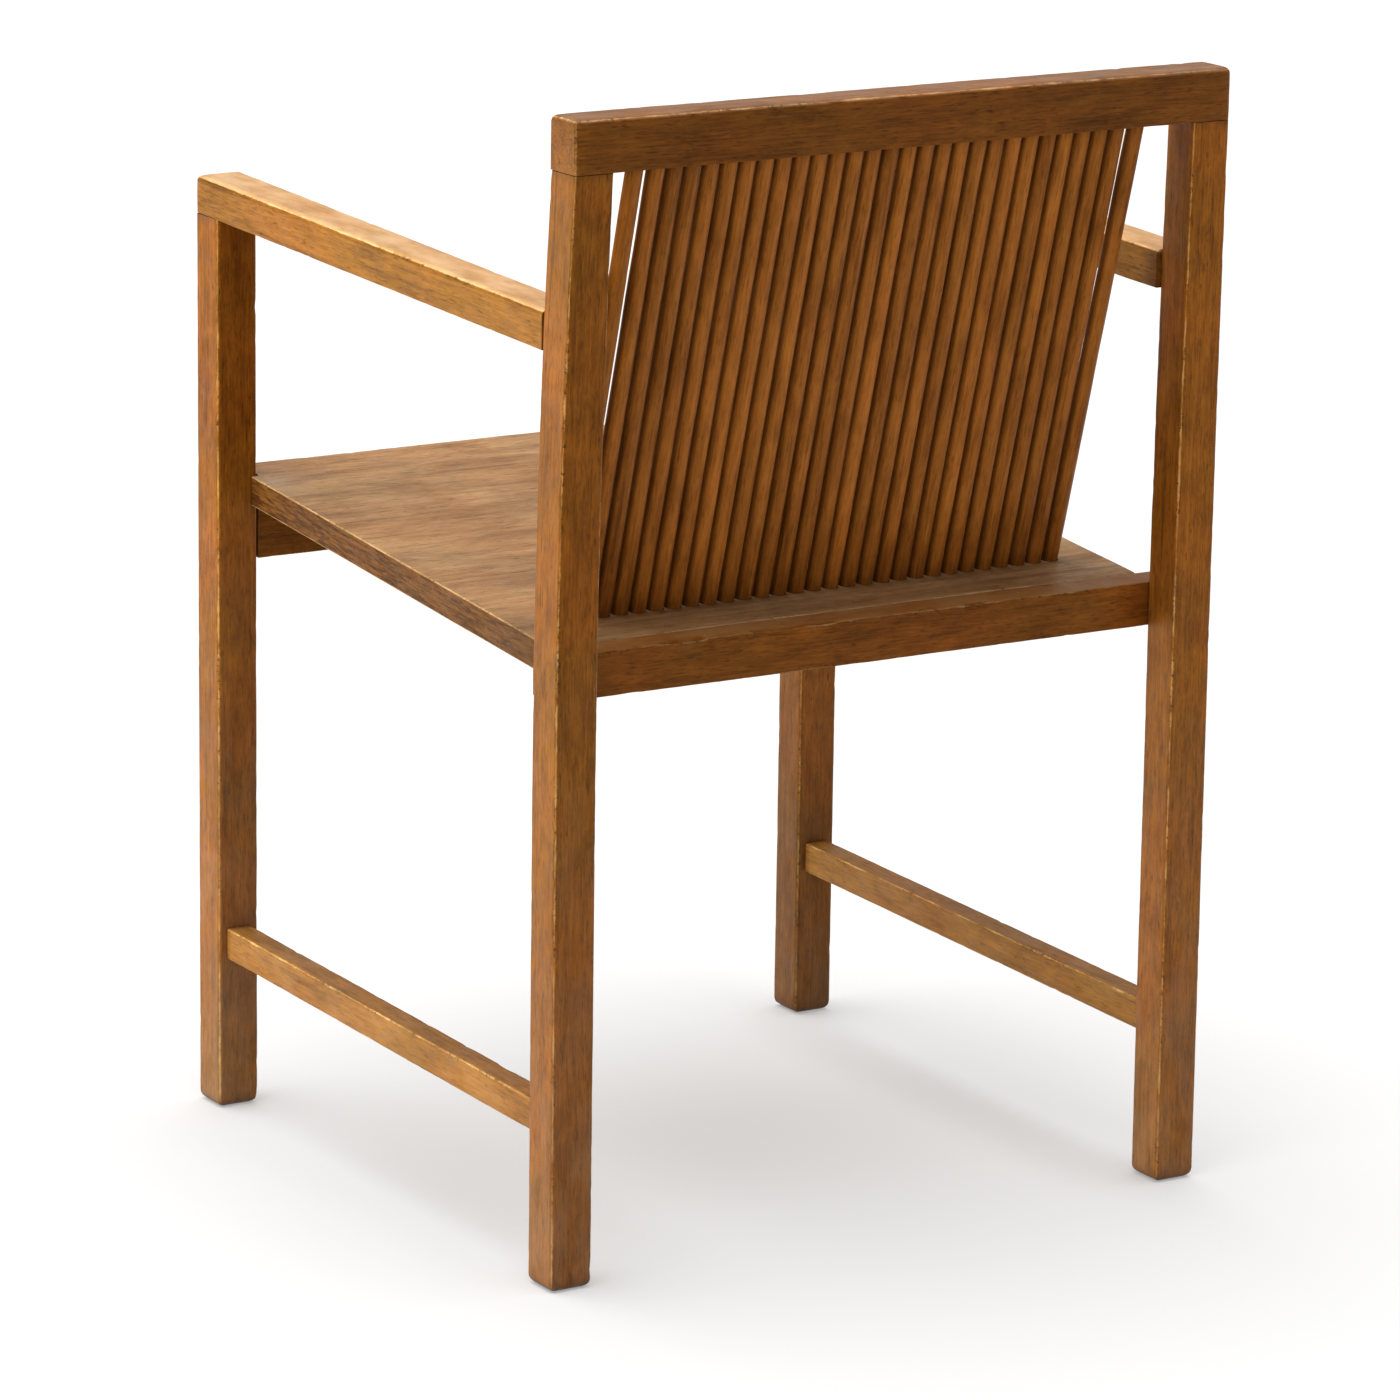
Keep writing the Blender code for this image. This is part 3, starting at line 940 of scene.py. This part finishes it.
def front_seat_rail(seed):
    y = leg_high.y - FRONT_RAIL_DEPTH / 2 - GAP
    half_x = leg_low.x - GAP
    height = seat_top(y) - SEAT_THICK - GAP - FRONT_RAIL_HEIGHT / 2

    def tone(at):
        return 0.55, 0.0, 0.3 * near(abs(at.x), half_x, BUTT_REACH)

    bar = Bar(
        "rail_front",
        0,
        -half_x,
        half_x,
        lambda s: (y, height),
        lambda s: (FRONT_RAIL_DEPTH / 2, FRONT_RAIL_HEIGHT / 2),
        BOARD_ARRIS,
        shear=SEAT_SLOPE,
        pith=(0.03, -0.05),
        seed=seed,
    )
    return finish_piece(bar.build(), bar, frame_wood, "front_seat_rail", tone)


def rear_seat_rail(seed):
    """The rail behind the board, toned like it on top and chipped along its rear arris."""
    y = (rear_rail_low.y + rear_rail_high.y) / 2
    depth = rear_rail_high.y - rear_rail_low.y
    half_x = rear_rail_high.x
    height = seat_top(y) - REAR_RAIL_HEIGHT / 2

    def tone(at):
        upper = at.z > seat_top(at.y) - 0.0006
        chip_x = REAR_RAIL_CHIPS[0][0]
        scuff = 0.5 * near(at.x, chip_x, 0.022) * near(at.z, seat_top(at.y) - 0.004, 0.010)
        lower = 0.75 * near(at.z, seat_top(at.y) - REAR_RAIL_HEIGHT, 0.004)
        return (1.0, 0.82, 0.12) if upper else (0.80, scuff, min(0.6, 0.3 * lower))

    bar = Bar(
        "rail_rear",
        0,
        -half_x,
        half_x,
        lambda s: (y, height),
        lambda s: (depth / 2, REAR_RAIL_HEIGHT / 2),
        REAR_RAIL_ARRIS,
        shear=SEAT_SLOPE,
        step=0.004,
        chips=REAR_RAIL_CHIPS,
        hidden_ends=(False, False),
        pith=(0.03, -0.05),
        seed=seed,
    )
    return finish_piece(bar.build(), bar, rear_rail_wood, "rear_seat_rail", tone)


def seat_tone(at):
    """Painted shade behind the rods, less at the right end, a painted contact shadow along the
    rods' feet; scuffed grey by the left leg, smudged at the right rear.
    """
    foot_y = REAR_POST_FACE - ROD_FROM_REAR
    # a painted contact shadow where the rods' feet meet the seat
    line = near(at.y, foot_y + ROD_DIAMETER / 2, 0.010)
    # painted shade cast by the rods on the strip behind them
    behind = 1.0 if at.y > foot_y else near(at.y, foot_y, 0.05)
    # less painted shade at the right end, where light reaches the strip past the last rod
    behind *= 1 - 0.85 * near(at.x, board_low.x, 0.09) ** 0.5
    scuff = near(at.x, SEAT_SCUFF[0], 0.05) * near(at.y, SEAT_SCUFF[1], 0.06)
    smudge = near(at.x, SEAT_SMUDGE[0], 0.035) * near(at.y, SEAT_SMUDGE[1], 0.03)
    front = near(at.y, board_low.y, 0.10)
    level = 1.0 + 0.12 * front - 0.10 * behind
    return level, 0.5 * scuff, min(0.8, 0.26 * behind + 0.30 * line + 0.5 * smudge)


def seat_board(seed):
    """The board, notched round the front legs. A bar with no notch lays out its grain."""
    start = board_low.y
    end = board_high.y
    notch_x = leg_low.x - GAP
    notch_y = leg_high.y + GAP

    def front(s):
        return notch_y if abs(s) > notch_x else start

    def centre(s):
        middle = (front(s) + end) / 2
        return middle, seat_top(middle) - SEAT_THICK / 2

    def half(s):
        return (end - front(s)) / 2, SEAT_THICK / 2

    shared = {
        "shear": SEAT_SLOPE,
        "hidden_ends": (False, False),
        "pith": (0.0, -0.10),
        "seed": seed,
    }
    inner, outer = notch_x - HAIRLINE, notch_x + HAIRLINE
    bar = Bar(
        "board_seat",
        0,
        board_low.x,
        board_high.x,
        centre,
        half,
        BOARD_ARRIS,
        corner_steps=3,
        flat_steps=(60, 2),
        rounds=(BOARD_END_ROUND, BOARD_END_ROUND),
        extra=(-outer, -inner, inner, outer),
        **shared,
    )
    obj = bar.build()
    drill(obj, at_head=False)
    middle = (start + end) / 2
    plain = Bar(
        "board_grain",
        0,
        bar.start,
        bar.end,
        lambda s: (middle, seat_top(middle) - SEAT_THICK / 2),
        lambda s: ((end - start) / 2, SEAT_THICK / 2),
        BOARD_ARRIS,
        **shared,
    )
    return finish_piece(obj, plain, seat_wood, "seat_board", seat_tone)


def back_rod(index):
    """One round rod, with a tone of its own, dirt and painted shade at its ends, and painted shade
    down both sides.
    """
    node = f"back_rod_{index + 1:02d}"
    low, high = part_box(node)
    foot, head = rod_ends(index)
    size = ROD_DIAMETER / 2

    def centre(s):
        at = foot.lerp(head, (s - foot.z) / (head.z - foot.z))
        return at.x, at.y

    bar = Bar(
        f"rod_{index + 1:02d}",
        2,
        low.z + 0.001,
        high.z - 0.001,
        centre,
        lambda s: (size, size),
        size * ROD_ARRIS_SHARE,
        corner_steps=8,
        flat_steps=(1, 1),
        wobble=0.00025,
        nicks=0.0001,
        pith=(0.02 + 0.01 * noise.noise(Vector((index * 3.3, 0, 0))), 0.02),
        seed=40 + index,
    )
    level = 1.08 + 0.34 * noise.noise(Vector((index * 1.7 + 0.4, 2.2, 0)))

    def tone(at):
        # dirt and painted shade where the rod enters the seat and the rail
        ends = near(at.z, foot.z, ROD_END_REACH) + near(at.z, RAIL_BOTTOM, ROD_END_REACH)
        # painted shade in the crevices between neighbouring rods
        beside = abs(at.x - centre(at.z)[0]) / size
        crevice = max(0.0, beside - CREVICE_START) / (1 - CREVICE_START)
        return level, 0.0, min(MOST_DIRT_AND_SHADE, 0.35 * ends + 0.70 * crevice)

    finish_piece(bar.build(), bar, rod_wood, node, tone)


def pins():
    """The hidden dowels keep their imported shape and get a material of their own."""
    for name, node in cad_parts.items():
        if "dowel" in name:
            node.data.materials.clear()
            node.data.materials.append(pin_wood)


def build_chair():
    for label, side in SIDES.items():
        front_leg(label, side, 3 + side)
        rear_post(label, side, 8 + side)
        arm(label, side, 12 + side)
        stretcher(label, side, 16 + side)
    top_rail(20)
    front_seat_rail(22)
    rear_seat_rail(25)
    seat_board(27)
    for index in range(ROD_COUNT):
        back_rod(index)
    pins()


# Stage, light and camera


def floor():
    bm = bmesh.new()
    bmesh.ops.create_grid(bm, x_segments=8, y_segments=8, size=FLOOR_HALF)
    mesh = bpy.data.meshes.new("studio_floor")
    bm.to_mesh(mesh)
    bm.free()
    obj = bpy.data.objects.new("studio_floor", mesh)
    bpy.context.scene.collection.objects.link(obj)
    material = bpy.data.materials.new("pale_floor")
    material.use_nodes = True
    shader = material.node_tree.nodes["Principled BSDF"]
    shader.inputs["Base Color"].default_value = (FLOOR_GREY, FLOOR_GREY, FLOOR_GREY, 1)
    shader.inputs["Emission Color"].default_value = (1, 1, 1, 1)
    shader.inputs["Emission Strength"].default_value = FLOOR_GLOW
    shader.inputs["Roughness"].default_value = 0.9
    shader.inputs["Specular IOR Level"].default_value = 0.1
    mesh.materials.append(material)
    obj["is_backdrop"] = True


def sun(name, toward, strength, softness):
    """A far soft light that shines from this direction."""
    data = bpy.data.lights.new(name, "SUN")
    data.energy = strength
    data.angle = math.radians(softness)
    obj = bpy.data.objects.new(name, data)
    obj.rotation_euler = (-Vector(toward)).to_track_quat("-Z", "Y").to_euler()
    bpy.context.scene.collection.objects.link(obj)


def side_light():
    """A soft box close to the chair's left side, which lights the chair and not the floor."""
    data = bpy.data.lights.new("side", "AREA")
    data.shape = "SQUARE"
    data.size = SIDE_LIGHT_SIZE
    data.energy = SIDE_LIGHT_WATTS
    data.color = SIDE_LIGHT_COLOUR
    obj = bpy.data.objects.new("side", data)
    obj.location = SIDE_LIGHT_AT
    aim = Vector(SIDE_LIGHT_AIM) - obj.location
    obj.rotation_euler = aim.to_track_quat("-Z", "Y").to_euler()
    bpy.context.scene.collection.objects.link(obj)
    lit = bpy.data.collections.new("lit_by_side")
    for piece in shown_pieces():
        lit.objects.link(piece)
    obj.light_linking.receiver_collection = lit


def lights():
    world = bpy.data.worlds.new("studio")
    world.use_nodes = True
    background = world.node_tree.nodes["Background"]
    background.inputs["Color"].default_value = (1.0, 1.0, 1.0, 1)
    background.inputs["Strength"].default_value = WORLD_STRENGTH
    bpy.context.scene.world = world
    sun("overhead", OVERHEAD_FROM, OVERHEAD_STRENGTH, OVERHEAD_SOFTNESS)
    side_light()


def camera():
    data = bpy.data.cameras.new("photo_view")
    data.lens = LENS_MM
    data.sensor_width = SENSOR_MM
    obj = bpy.data.objects.new("photo_view", data)
    bpy.context.scene.collection.objects.link(obj)
    obj.location = CAMERA_AT
    yaw = math.radians(CAMERA_YAW)
    pitch = math.radians(CAMERA_PITCH)
    roll = math.radians(CAMERA_ROLL)
    level = math.cos(pitch)
    way = Vector((-math.sin(yaw) * level, -math.cos(yaw) * level, math.sin(pitch)))
    turn = way.to_track_quat("-Z", "Y").to_matrix().to_4x4()
    obj.rotation_mode = "QUATERNION"
    obj.rotation_quaternion = (turn @ Matrix.Rotation(roll, 4, "Z")).to_quaternion()
    data.clip_start = 0.1
    data.clip_end = 100
    bpy.context.scene.camera = obj


build_chair()
floor()
lights()
camera()
bpy.context.scene.view_settings.view_transform = "Standard"
